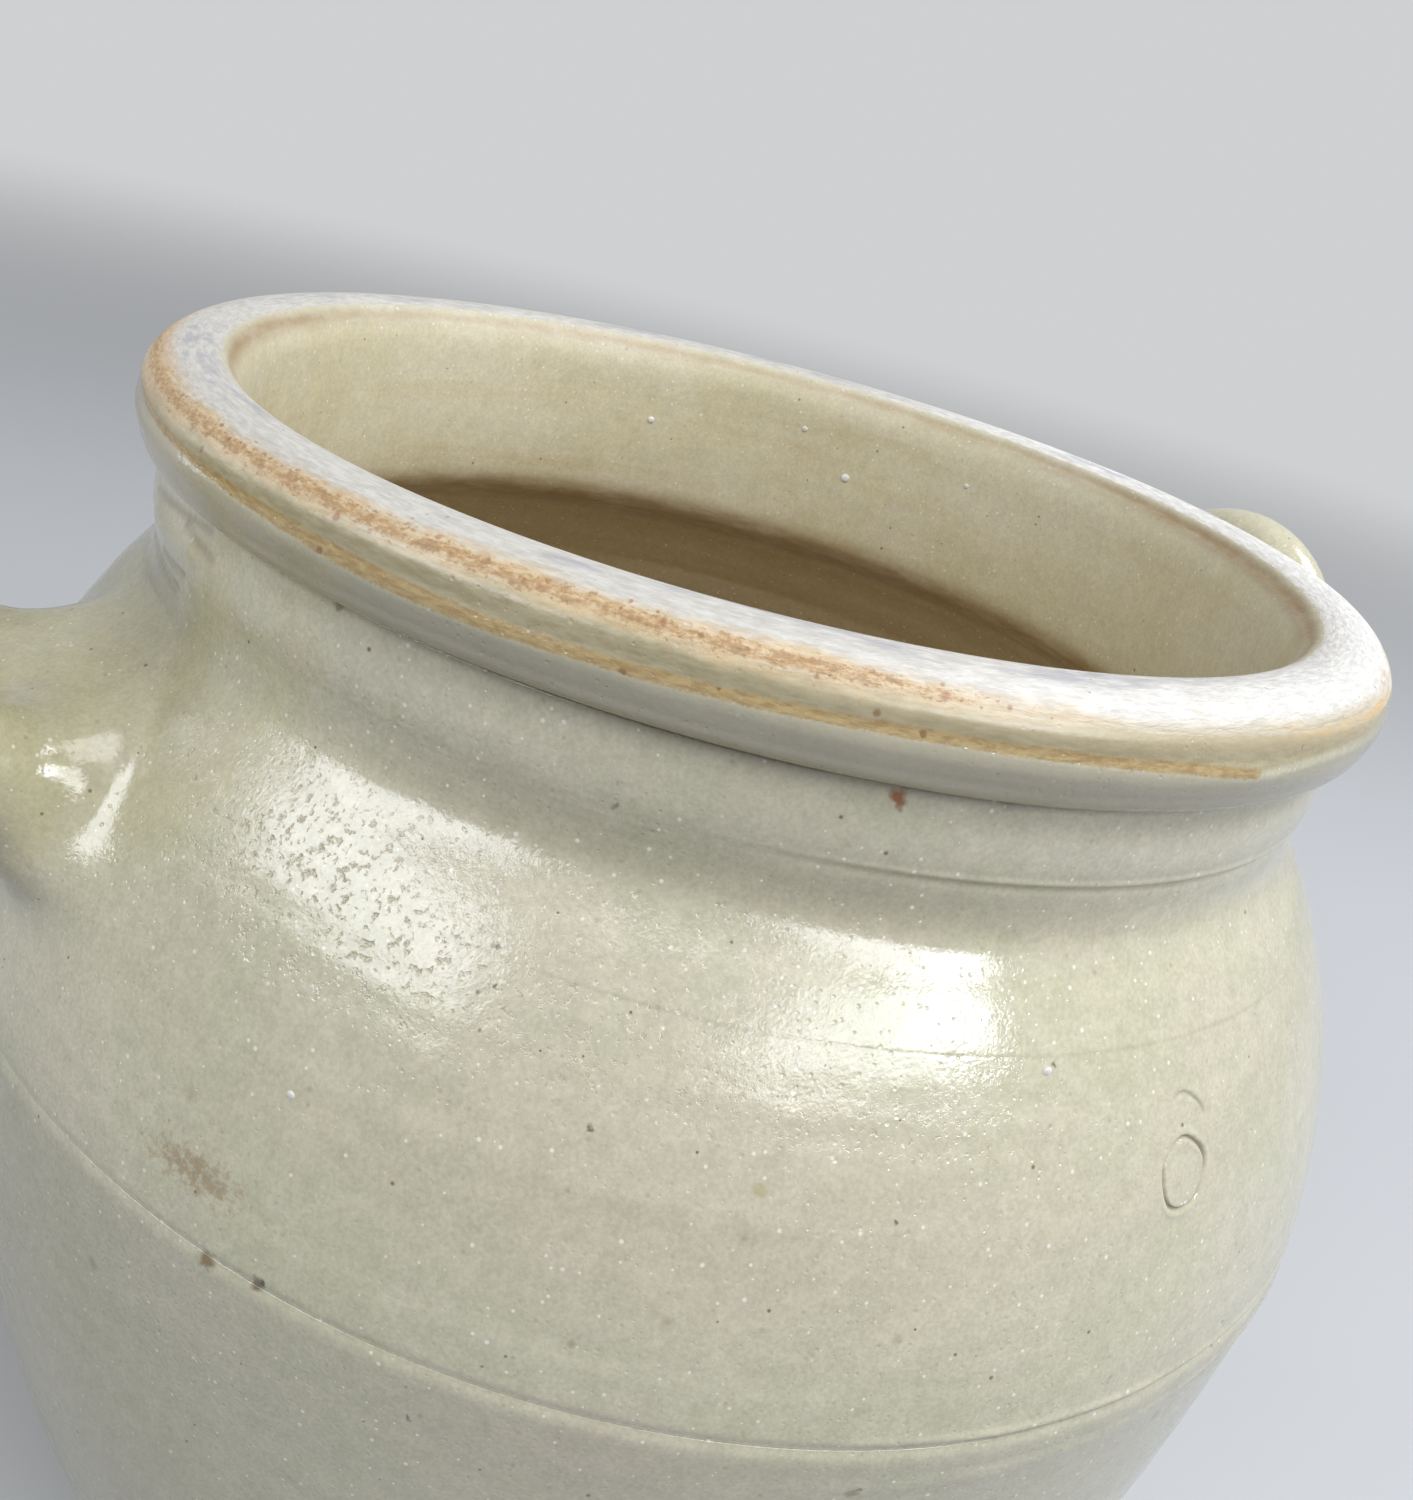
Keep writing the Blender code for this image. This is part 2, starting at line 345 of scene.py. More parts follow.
def rim_relief(turn, angle, side):
    """Grooves on the rolled rim, by the angle round its section in degrees."""
    return (
        0.00010 * ripple(turn, np.radians(angle), 21, 7, 3, 2.0, 6.0)
        - 0.00038 * bell(angle, 137, 7) * (0.75 + 0.25 * np.cos(turn * 2))
        - 0.00030 * bell(angle, 10, 9) * span(side, -75, 50, 14)
        + 0.00010 * bell(angle, 27, 6) * span(side, -75, 50, 14)
        + 0.00012 * bell(angle, -8, 7) * span(side, -70, 50, 14)
        - 0.00010 * bell(angle, -27, 5) * span(side, -40, 60, 10)
    )


def bead_angle(radius, share):
    """The angle round the rim's bead in degrees: 0 outside, 90 on top, 180 inside."""
    out = (radius / RIM - BEAD_RADIUS) / BEAD_HALF_WIDTH
    angle = np.degrees(np.arctan2(share / BEAD_HALF_HEIGHT, out))
    return np.where((angle < 0) & (radius < BEAD_RADIUS * RIM), angle + 360, angle)


def body_relief(turn, height, side, angle, on_wall, on_rim, on_inside):
    """How far a turned body stands out from its section, in metres."""
    throwing = 0.00016 * ripple(turn, height, 31, 9, 1, 0.008, 0.024)
    throwing = throwing + 0.00004 * ripple(turn, height, 33, 9, 2, 0.003, 0.006)
    soft = 1 - 0.55 * span(side, -70, -30, 14)
    seam_cut = 0.00034 * bell(height, SEAM, 0.00085) * (0.85 + 0.15 * np.sin(5 * turn)) * soft
    return (
        np.where(on_wall, wall_relief(turn, height) - seam_cut, 0)
        + np.where(on_rim, rim_relief(turn, angle, side), 0)
        + np.where(on_inside, throwing * smooth(0.226, 0.216, height), 0)
    )


def closed_ends(points, faces, rows, columns):
    """Closes the first and the last row with a fan round the axis."""
    last = len(points)
    points = np.concatenate([points, [[0, 0, rows[0, 1]], [0, 0, rows[-1, 1]]]])
    ring = np.arange(columns)
    faces = faces + [(last, b, a) for a, b in zip(ring.tolist(), np.roll(ring, -1).tolist())]
    ring = ring + (len(rows) - 1) * columns
    faces = faces + [(last + 1, a, b) for a, b in zip(ring.tolist(), np.roll(ring, -1).tolist())]
    return points, faces


def turned_body(name, rows, turns, wrap_rows, material):
    """A turned body with its relief and its colour masks."""
    columns = len(turns)
    turn = turns[None, :]
    side = side_degrees(turn)
    radius, height, kind = rows[:, :1], rows[:, 1:2], rows[:, 2:3]
    share = rim_share(height)
    angle = bead_angle(radius, share)
    kinds = [kind == KINDS.index(name_of) for name_of in ("wall", "rim", "inside")]
    out = body_relief(turn, height, side, angle, *kinds)
    full_radius = radius + rows[:, 3:4] * out
    wave = seam_wave(turn) * np.exp(-((height - SEAM) / SEAM_WAVE_REACH) ** 2)
    full_height = height + rows[:, 4:5] * out + wave
    around = full_radius * np.cos(turn), full_radius * np.sin(turn)
    points = np.stack([*around, full_height + 0 * turn], -1).reshape(-1, 3)
    quads = ring_faces(len(rows), columns, wrap_rows)
    if wrap_rows and signed_volume(points, quads) < 0:
        quads = quads[:, ::-1]
    faces = quads.tolist()
    step = np.hypot(*np.diff(rows[:, :2], axis=0, prepend=rows[:1, :2]).T)
    masks = colour_masks(turn, side, share, angle, *kinds)
    masks["run"] = np.cumsum(step)[:, None] + 0 * turn
    if not wrap_rows:
        points, faces = closed_ends(points, faces, rows, columns)
        masks = {k: np.concatenate([np.ravel(v), [0, 0]]) for k, v in masks.items()}
    return mesh_object(name, points, faces, masks, material)


def rim_masks(turn, side, share, angle):
    """Where the rim's finishes lie, and where its dry top is lightened as painted light on the
    lit side.
    """
    wobble = ripple(turn, 0 * share, 41, 6, 14, 5, 9)
    right = smooth(20, 60, side) * (1 - smooth(125, 175, side))
    dry_edge = 37 + 1.8 * wobble
    dry = smooth(dry_edge - 5 - 14 * right, dry_edge + 5 - 6 * right, angle)
    near = span(angle, 31, 56, 15) * smooth(-92, -70, side) * (1 - 0.75 * smooth(5, 32, side))
    near = near * (1 - smooth(44, 66, side))
    far = 0.45 * span(angle, 30, 60, 12) * (1 - span(side, -96, 60, 10))
    low = 2 - 9 * bell(side, -14, 14) + 8 * bell(side, -58, 16) - 9 * bell(side, 40, 6)
    low = low + 2 * bell(side, 14, 12) + wobble
    ends = smooth(-72, -56, side) * (1 - smooth(39.5, 41, side))
    khaki = span(angle, low + 8, dry_edge, 4) * smooth(-80, -60, side)
    lip = 0.62 + 0.38 * (span(side, -98, -68, 8) + span(side, 66, 125, 14))
    return {
        "dry": dry * (1 - smooth(112, 130, angle)),
        "toast": near + far,
        "peach": span(angle, 22, 66, 8) * span(side, -96, -54, 9),
        "ochre": ends * span(angle, low, low + 11 + 4 * bell(side, -25, 12), 4.0),
        "orange": bell(angle, 30, 5) * span(side, 46, 66, 6),
        "khaki": khaki * (1 - smooth(52, 66, side)),
        "under": span(angle, -90, low, 3),
        "cream": span(angle, 18, 44, 7) * span(side, 14, 66, 16),
        "satin": smooth(95, 120, angle) * smooth(-0.22, -0.08, share),
        # Painted light: the dry top takes its lighter tones on the pot's lit side.
        "chalk_and_lit_side": smooth(-20, 105, side) * (1 - smooth(135, 178, side)),
        "smudge": span(angle, 74, 112, 9) * (1 - 0.75 * span(side, 35, 115, 12)),
        "brown": bell(angle, 138, 12) * lip,
    }


# Patches of the wall's tints: side, share, the widths of both, strength
PATCHES = {
    "coarse": ((-26, -0.35, 17, 0.11, 1), (-4, -0.40, 15, 0.07, 0.6), (24, -0.43, 16, 0.04, 0.5)),
    "specks": ((-6, -0.37, 9, 0.07, 1), (2, -0.43, 9, 0.06, 0.8), (-18, -0.34, 6, 0.05, 1)),
    "red": ((-21, -0.712, 5.4, 0.046, 1), (-43, -0.165, 2.0, 0.020, 0.5)),
    "pink": ((4, -0.87, 8, 0.06, 0.30), (8, -0.55, 16, 0.12, 0.25)),
}


def wall_masks(side, share):
    """Where the outer wall's tints and lines lie, with painted shade in the neck, the grooves and
    below the seam, and painted light on the neck's ridge.
    """
    # Painted shade: the neck's hollow and a band just under the rim are darkened.
    hollow = bell(share, -0.215, 0.040) * span(side, -18, 30, 16)
    # Painted light: a band on the neck's ridge is lightened, on the left and right of the pot.
    lit_ridge = span(side, -70, -16, 14) + 0.9 * span(side, 20, 80, 14)
    # Painted shade: the scored line, the creases of the sunk smears and the grooves of the
    # pressed circles are darkened.
    scored = 0.20 * bell(share, -0.3590, 0.0022) * faint_line(side)
    for start, end, width, deep in SMEARS:
        scored = scored + (deep < 0) * 0.42 * stroke(side, share, start, end, width * 0.8)
    pressed = ring_groove(side, share, FULL_RING, full_ring)
    pressed = pressed + ring_groove(side, share, PART_RING, part_ring)
    masks = {
        # Painted shade: the wall below the seam is darkened.
        "lower": smooth(-0.800, -0.820, share),
        "neck_shade": hollow + bell(share, -0.062, 0.012),
        "lit_ridge": bell(share, -0.115, 0.040) * lit_ridge,
        "olive": near_handle(side, share),
        "line": scored + 0.65 * np.clip(pressed, 0, 1),
    }
    for name, patches in PATCHES.items():
        total = 0
        for at_side, at_share, wide, high, strength in patches:
            total = total + strength * (bell(side, at_side, wide) * bell(share, at_share, high))
        masks[name] = np.clip(total, 0, 1)
    return masks


def colour_masks(turn, side, share, angle, on_wall, on_rim, on_inside):
    """Where each finish lies, and the painted shade and painted light, 0 to 1 on every point."""
    rim = rim_masks(turn, side, share, angle)
    masks = {name: np.where(on_rim, values, 0) for name, values in rim.items()}
    for name, values in wall_masks(side, share).items():
        masks[name] = np.where(on_wall, values, 0)
    neck_line = bell(share, -0.302, 0.036) * (on_rim | on_inside)
    masks["brown"] = masks["brown"] + neck_line * smooth(150, 200, angle)
    below_lip = on_inside | (on_rim & (share < -0.1))
    # Painted shade: the inside is darkened from below the neck downward.
    masks["deep"] = np.where(below_lip, smooth(-0.30, -0.36, share), 0)
    masks["inner"] = np.where(on_rim, smooth(140, 160, angle), 0) + on_inside
    flat = 0.0 * turn + 0.0 * share
    return {name: values + flat for name, values in masks.items()}


HANDLE_SIDES = (-53.5, 126.5)


def near_handle(side, share):
    """How strongly the glaze pooled round a handle."""
    total = 0
    for handle_side in HANDLE_SIDES:
        off = (side - handle_side + 180) % 360 - 180
        total = total + np.exp(-(off / 15) ** 2 - ((share + 0.42) / 0.15) ** 2)
    return np.clip(1.1 * total, 0, 1)


# Half of a handle's centre line in rim radii: radius, offset, share, then the coil's radius
HALF_LOOP = (
    (1.020, 0.140, -0.440, 0.106), (1.130, 0.150, -0.436, 0.096), (1.222, 0.172, -0.400, 0.087),
    (1.276, 0.190, -0.305, 0.078), (1.290, 0.190, -0.190, 0.072), (1.294, 0.150, -0.095, 0.070),
    (1.297, 0.080, -0.043, 0.070), (1.298, 0.000, -0.026, 0.070),
)
# The pad on the shoulder, the web between the legs and the clay smoothed down below them:
# the middle and the half sizes of each, in metres
BLOBS = (
    ((0.0990, 0.0, 0.1843), (0.0140, 0.0230, 0.0140)),
    ((0.1120, 0.0, 0.1838), (0.0125, 0.0170, 0.0104)),
    ((0.1060, 0.0, 0.1760), (0.0165, 0.0300, 0.0122)),
)
ROOT_BLEND = 0.0068
ROOT_MARGIN = 0.003
ROOT_DEPTH = 0.0025
LEG_BLEND = 0.008
SKIN = 0.00001
# The wall leans, so its distance is a little less than the one along the radius
WALL_LEAN = 0.88
# The box that a handle's surface is looked for in, its grid, and the step for its slope
HANDLE_LOW = (0.0800, -0.0520, 0.1500)
HANDLE_HIGH = (0.1400, 0.0520, 0.2360)
CELL = 0.0008
NUDGE = 0.00005
LOOP_POINTS = 72


def loop_line():
    """The handle's centre line and the coil's radius along it, in metres."""
    half = np.array(HALF_LOOP)
    other = half[:-1][::-1] * (1, -1, 1, 1)
    points = np.concatenate([half, other])
    gaps = np.linalg.norm(np.diff(points[:, :3], axis=0), axis=1)
    reach = np.concatenate([[0], np.cumsum(gaps)])
    line = spline(reach, points, np.linspace(0, reach[-1], LOOP_POINTS)) * RIM
    line[:, 2] += RIM_HEIGHT
    return line


LOOP = loop_line()


def coil_distance(x, y, z):
    """Distance to the bent coil of clay, negative inside it."""
    best = np.full(x.shape, 1.0)
    for a, b in zip(LOOP[:-1], LOOP[1:]):
        run = b[:3] - a[:3]
        length = run @ run
        t = ((x - a[0]) * run[0] + (y - a[1]) * run[1] + (z - a[2]) * run[2]) / length
        t = np.clip(t, 0, 1)
        dx, dy, dz = x - a[0] - t * run[0], y - a[1] - t * run[1], z - a[2] - t * run[2]
        best = np.minimum(best, np.sqrt(dx * dx + dy * dy + dz * dz) - a[3] - t * (b[3] - a[3]))
    return best


def joined(a, b, reach):
    """The smaller distance, with a rounded fillet where the two are near each other."""
    near = np.maximum(reach - np.abs(a - b), 0) / reach
    return np.minimum(a, b) - near ** 3 * reach / 6


def handle_distances(x, y, z, azimuth):
    """Distances to the wall and to the handle, negative inside."""
    turn = np.arctan2(y, x) + azimuth
    body = (np.hypot(x, y) - wall_radius(turn, z)) * WALL_LEAN
    handle = coil_distance(x, y, z)
    for centre, size in BLOBS:
        px, py, pz = ((v - c) / s for v, c, s in zip((x, y, z), centre, size))
        handle = joined(handle, (np.sqrt(px * px + py * py + pz * pz) - 1) * min(size), LEG_BLEND)
    return body, handle


def handle_field(x, y, z, azimuth):
    """Negative inside a handle and the clay smoothed from its root onto the shoulder."""
    body, handle = handle_distances(x, y, z, azimuth)
    skin = joined(body + SKIN, handle, ROOT_BLEND)
    return np.maximum(np.maximum(skin, -(body + ROOT_DEPTH)), handle - ROOT_BLEND - ROOT_MARGIN)


# The twelve edges of a cell, between corners numbered by their bits
EDGES = [(a, b) for a in range(8) for b in range(a + 1, 8) if bin(a ^ b).count("1") == 1]


def surface_net(field, origin, step):
    """Points and quads of the surface where a sampled field is zero."""
    nx, ny, nz = (n - 1 for n in field.shape)
    corner = [((k >> 2) & 1, (k >> 1) & 1, k & 1) for k in range(8)]
    values = np.stack([field[i:i + nx, j:j + ny, k:k + nz] for i, j, k in corner], -1)
    inside = values < 0
    active = np.argwhere(inside.any(-1) & ~inside.all(-1))
    here = values[tuple(active.T)]
    total = np.zeros((len(active), 3))
    count = np.zeros(len(active))
    for a, b in EDGES:
        crossed = (here[:, a] < 0) != (here[:, b] < 0)
        t = here[:, a] / np.where(crossed, here[:, a] - here[:, b], 1)
        start, end = np.array(corner[a], float), np.array(corner[b], float)
        total += np.where(crossed[:, None], start + t[:, None] * (end - start), 0)
        count += crossed
    points = origin + step * (active + total / count[:, None])
    index = np.full((nx, ny, nz), -1)
    index[tuple(active.T)] = np.arange(len(active))
    quads = []
    solid = (field < 0).astype(int)
    for axis in range(3):
        first = [0 if k == axis else 1 for k in range(3)]
        kept = tuple(slice(start, n) for start, n in zip(first, (nx, ny, nz)))
        change = np.diff(solid, axis=axis)[kept]
        cells = np.argwhere(change) + first
        starts_inside = change[change != 0] < 0
        u, v = (axis + 1) % 3, (axis + 2) % 3
        around = []
        for du, dv in ((0, 0), (1, 0), (1, 1), (0, 1)):
            cell = cells.copy()
            cell[:, u] -= du
            cell[:, v] -= dv
            around.append(index[tuple(cell.T)])
        quad = np.stack(around, 1)
        quad[~starts_inside] = quad[~starts_inside][:, ::-1]
        quads.append(quad)
    return points, np.concatenate(quads)


def settled(points, azimuth):
    """The points drawn closer to the surface."""
    for _ in range(3):
        value = handle_field(*points.T, azimuth)
        slope = np.empty_like(points)
        for k in range(3):
            shift = np.zeros(3)
            shift[k] = NUDGE
            ahead = handle_field(*(points + shift).T, azimuth)
            back = handle_field(*(points - shift).T, azimuth)
            slope[:, k] = (ahead - back) / (2 * NUDGE)
        size = np.maximum((slope * slope).sum(1), 0.05)
        move = slope * (value / size)[:, None]
        reach = np.linalg.norm(move, axis=1, keepdims=True)
        points = points - move * np.minimum(1, CELL * 0.5 / np.maximum(reach, 1e-9))
    return points


def handle_piece(name, azimuth, node, material):
    """A handle with its root."""
    low = np.array(HANDLE_LOW)
    axes = [np.arange(a, b + CELL, CELL) for a, b in zip(HANDLE_LOW, HANDLE_HIGH)]
    x, y, z = np.meshgrid(*axes, indexing="ij")
    points, quads = surface_net(handle_field(x, y, z, azimuth), low, CELL)
    points = settled(points, azimuth)
    body, _ = handle_distances(*points.T, azimuth)
    turn = np.arctan2(points[:, 1], points[:, 0]) + azimuth
    share = rim_share(points[:, 2])
    coil_tint = 0.30 + 0.60 * (1 - smooth(-0.34, -0.12, share))
    coil_tint = coil_tint * smooth(0.002, 0.006, body)
    tint = np.maximum(near_handle(side_degrees(turn), share), coil_tint)
    points = points @ np.array(Matrix.Rotation(azimuth, 3, "Z")).T
    piece = mesh_object(name, points, quads.tolist(), {"olive": tint}, material)
    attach(piece, "root")
    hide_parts(node)


# Flat tints, as display colours. The tints for deep inside, the lower wall, the neck and the
# lines are painted shade; the ridge's tint is painted light.
TINTS = {
    "bloom": (208, 202, 181), "stain": (170, 164, 128), "pink": (186, 166, 152),
    "olive": (194, 187, 144), "thrown": (188, 166, 118), "deep": (186, 164, 122),
    "lower": (172, 168, 149), "neck_shade": (148, 139, 115), "lit_ridge": (212, 207, 186),
    "white_spot": (234, 231, 216), "faint_spot": (138, 124, 92), "hole": (150, 134, 104),
    "olive_spot": (142, 130, 92), "red": (146, 119, 72), "line": (112, 100, 76),
    "rust": (120, 84, 42), "soot": (118, 110, 100), "orange": (206, 176, 122),
    "smudge": (150, 150, 158), "brown": (146, 114, 70),
}
# Tones that a pattern runs between, as display colours
TONES = {
    # The inside's pair is partly its own warmer glaze and partly painted light that brightens it.
    "body": ((192, 189, 161), (198, 192, 168)), "inner": ((207, 197, 162), (214, 206, 177)),
    "dark_spot": ((82, 70, 56), (130, 100, 68)), "under": ((154, 147, 126), (179, 172, 151)),
    "khaki": ((153, 140, 103), (181, 169, 136)), "ochre": ((152, 119, 62), (184, 158, 102)),
    "dull": ((178, 174, 164), (204, 201, 195)), "clear": ((201, 198, 191), (233, 231, 226)),
    "cream": ((162, 147, 111), (192, 179, 148)), "peach": ((172, 136, 98), (220, 194, 160)),
    "tan": ((186, 153, 102), (208, 185, 143)), "toast": ((163, 120, 60), (112, 79, 39)),
    "fleck": ((108, 72, 38), (158, 110, 60)), "big_fleck": ((96, 62, 32), (150, 98, 52)),
}


class Nodes:
    """Short ways to add to a node tree."""

    def __init__(self, tree):
        self.tree = tree

    def add(self, kind, **settings):
        node = self.tree.nodes.new(kind)
        for key, value in settings.items():
            setattr(node, key, value)
        return node

    def put(self, socket, value):
        """Links a socket to the one given, or sets its value."""
        if isinstance(value, bpy.types.NodeSocket):
            self.tree.links.new(value, socket)
        elif isinstance(value, tuple) and len(value) == 3 and socket.type == "RGBA":
            socket.default_value = (*value, 1)
        else:
            socket.default_value = value

    def math(self, operation, *values, kind="ShaderNodeMath"):
        node = self.add(kind, operation=operation)
        for socket, value in zip(node.inputs, values):
            self.put(socket, value)
        return node.outputs

    def sum(self, a, b):
        return self.math("ADD", a, b)[0]

    def product(self, *values):
        total = values[0]
        for value in values[1:]:
            total = self.math("MULTIPLY", total, value)[0]
        return total

    def vector(self, operation, *values):
        return self.math(operation, *values, kind="ShaderNodeVectorMath")

    def between(self, node, first, *values):
        """What a mix node gives, from a share and two inputs."""
        for socket, value in zip((0, first, first + 1), values):
            self.put(node.inputs[socket], value)
        return node.outputs[0 if first == 2 else 2]

    def mix(self, share, a, b, blend="MIX"):
        """A colour between two."""
        node = self.add("ShaderNodeMix", data_type="RGBA", blend_type=blend)
        return self.between(node, 6, share, a, b)

    def blend(self, share, a, b):
        """A number between two."""
        return self.between(self.add("ShaderNodeMix", data_type="FLOAT"), 2, share, a, b)

    def step(self, value, low, high, to_low=0.0, to_high=1.0):
        """A smooth rise from one number to another as the value does."""
        node = self.add("ShaderNodeMapRange", interpolation_type="SMOOTHSTEP")
        for socket, item in zip(node.inputs, (value, low, high, to_low, to_high)):
            self.put(socket, item)
        return node.outputs[0]

    def looked_at(self):
        """One where the camera sees it, also by way of a mirror or glass."""
        rays = self.add("ShaderNodeLightPath").outputs
        share = self.math("MAXIMUM", rays["Is Camera Ray"], rays["Is Glossy Ray"])[0]
        return self.math("MAXIMUM", share, rays["Is Transmission Ray"])[0]


class Shader(Nodes):
    """A material's node tree, with patterns and a colour laid up in layers."""

    def __init__(self, name):
        self.material = bpy.data.materials.new(name)
        self.material.use_nodes = True
        super().__init__(self.material.node_tree)
        self.bsdf = self.tree.nodes["Principled BSDF"]
        self.place = self.add("ShaderNodeTexCoord").outputs["Object"]
        self.colour = None

    def over(self, colour, *shares):
        """Lays a colour on, as strongly as the shares' product."""
        self.colour = self.mix(self.product(*shares), self.colour, colour)

    def tint(self, name, *shares):
        """Lays a flat tint on."""
        self.over(rgb(*TINTS[name]), *shares)

    def tone(self, name, share):
        """A colour between the two tones of a pair."""
        return self.mix(share, *(rgb(*tone) for tone in TONES[name]))

    def mask(self, name):
        return self.add("ShaderNodeAttribute", attribute_name=name).outputs["Fac"]

    def drawn_out(self, share):
        """Places squeezed, so that a pattern is drawn out round the pot."""
        run = self.add("ShaderNodeCombineXYZ")
        self.put(run.inputs[2], self.mask("run"))
        squeezed = self.vector("MULTIPLY", self.place, (share, share, 0.0))[0]
        return self.vector("ADD", squeezed, run.outputs[0])[0]

    def noise(self, scale, detail=2.0, rough=0.5, place=None, output="Fac"):
        node = self.add("ShaderNodeTexNoise")
        self.put(node.inputs["Vector"], place or self.place)
        for key, value in (("Scale", scale), ("Detail", detail), ("Roughness", rough)):
            self.put(node.inputs[key], value)
        return node.outputs[output]

    def cells(self, scale):
        """Distance to the middle of the nearest cell, and two chances of its own."""
        node = self.add("ShaderNodeTexVoronoi", feature="F1")
        self.put(node.inputs["Vector"], self.place)
        self.put(node.inputs["Scale"], scale)
        pick = self.add("ShaderNodeSeparateColor")
        self.put(pick.inputs[0], node.outputs["Color"])
        return node.outputs["Distance"], pick.outputs[0], pick.outputs[1]

    def dots(self, scale, size, share, soft=0.5):
        """Round spots in some of the cells, and a value of each one's own."""
        distance, chance, tone = self.cells(scale)
        wide = self.product(size, self.sum(0.45, tone))
        spot = self.step(distance, self.product(wide, 1 - soft), wide, 1.0, 0.0)
        return self.product(spot, self.math("LESS_THAN", chance, share)[0]), tone


# Single marks in the glaze: side, share, radius in metres, display colour, strength
MARKS = (
    (14.2, -0.082, 0.0015, (150, 86, 4), 1.0), (14.5, -0.090, 0.0011, (136, 78, 4), 0.9),
    (-18.7, -0.806, 0.0018, (110, 84, 30), 0.85), (-15.2, -0.796, 0.0016, (96, 72, 28), 0.85),
    (-14.9, -0.793, 0.0008, (44, 32, 16), 0.9), (-27.2, -0.073, 0.0015, (128, 106, 60), 0.8),
    (-8.2, -0.349, 0.0007, (92, 70, 52), 0.85), (-3.5, -0.170, 0.0007, (96, 92, 92), 0.7),
    (-7.4, -0.384, 0.0006, (96, 76, 56), 0.8), (-4.9, -0.884, 0.0007, (78, 74, 80), 0.8),
    (-1.7, -0.771, 0.0005, (84, 78, 70), 0.75), (0.5, -0.483, 0.0006, (84, 76, 60), 0.8),
    (19.0, -0.522, 0.0005, (70, 60, 46), 0.85), (54.5, -0.264, 0.0006, (88, 80, 60), 0.8),
    (29.4, -0.366, 0.0006, (92, 88, 78), 0.8), (10.6, -0.505, 0.0016, (168, 162, 112), 0.6),
    (20.5, -0.870, 0.0015, (124, 116, 66), 0.65), (20.9, -0.866, 0.0005, (44, 40, 28), 0.8),
)


MARK_WANDER = 0.0008
GLAZE_IOR = 1.75
BUMP_REACH = 0.00010


def place_at(turn, radius, share):
    """A place by its angle round the pot, its radius in metres and its share."""
    return Vector((radius * math.cos(turn), radius * math.sin(turn), RIM_HEIGHT + RIM * share))


def wall_point(side, share):
    """A place on the outer wall."""
    turn = CAMERA_SIDE + math.radians(side)
    radius = float(wall_radius(np.array(turn), np.array(RIM_HEIGHT + RIM * share)))
    return place_at(turn, radius, share)


def body_colour(s, inner):
    """The fired body under its glaze, outside and in, with painted shade and painted light laid
    over it.
    """
    mottle = s.noise(230, 3, 0.65)
    patches = s.step(s.noise(38, 4, 0.62), 0.36, 0.64)
    s.colour = s.tone("body", patches)
    s.tint("bloom", s.step(mottle, 0.40, 0.70), 0.22)
    s.tint("stain", s.step(s.noise(330, 3, 0.7), 0.58, 0.72), 0.22)
    s.tint("pink", s.mask("pink"))
    s.tint("olive", s.mask("olive"), s.step(s.noise(60, 3, 0.6), 0.3, 0.7, 0.5, 1.0), 0.8)
    # The inside's tones, partly its own warmer glaze and partly painted light.
    s.over(s.tone("inner", patches), inner, 0.85)
    thrown = s.step(s.noise(150, 4, 0.65, s.drawn_out(0.07)), 0.50, 0.72)
    s.tint("thrown", thrown, inner, 0.32)
    # Painted shade deep inside, below the seam and in the neck, and painted light on the neck's
    # ridge.
    for name, strength in (("deep", 0.9), ("lower", 0.3), ("neck_shade", 0.46), ("lit_ridge", 0.65)):
        s.tint(name, s.mask(name), strength)
    shade = s.product(
        s.step(mottle, 0.3, 0.7, 0.97, 1.03), s.step(s.noise(1600, 2, 0.6), 0.3, 0.7, 0.93, 1.06),
        s.step(s.noise(620, 3, 0.6), 0.3, 0.7, 0.955, 1.035),
    )
    s.colour = s.mix(1.0, s.colour, shade, "MULTIPLY")


def spotted(s, hole):
    """White and dark specks, pits, the reddish patches, and painted shade in the scored lines,
    creases and grooves.
    """
    s.tint("white_spot", s.dots(620, 0.17, 0.52, 0.6)[0], 0.85)
    s.tint("faint_spot", s.dots(430, 0.17, 0.42, 0.9)[0], 0.36)
    s.tint("hole", hole, 0.55)
    specks = s.mask("specks")
    s.tint("olive_spot", s.dots(120, 0.15, s.sum(0.14, s.product(specks, 0.30)), 0.8)[0], 0.5)
    dark, dark_tone = s.dots(360, 0.105, s.sum(0.15, s.product(specks, 0.60)), 0.6)
    s.over(s.tone("dark_spot", dark_tone), dark, 0.9)
    red = s.mask("red")
    blotch = s.sum(s.product(red, 0.35), s.product(s.noise(760, 3, 0.75), 0.9))
    s.tint("red", s.step(blotch, 0.62, 0.84), red, 0.7)
    # Painted shade in the grooves and creases.
    s.tint("line", s.mask("line"))


def marked(s):
    """The single marks, each with an uneven edge."""
    wander = s.noise(900.0, output="Color")
    shift = s.vector("MULTIPLY_ADD", wander, (2 * MARK_WANDER,) * 3, (-MARK_WANDER,) * 3)
    near = s.vector("ADD", s.place, shift[0])[0]
    for side, share, radius, tint, strength in MARKS:
        off = s.vector("DISTANCE", near, wall_point(side, share))["Value"]
        s.over(rgb(*tint), s.step(off, radius * 0.2, radius * 0.9, strength, 0.0))


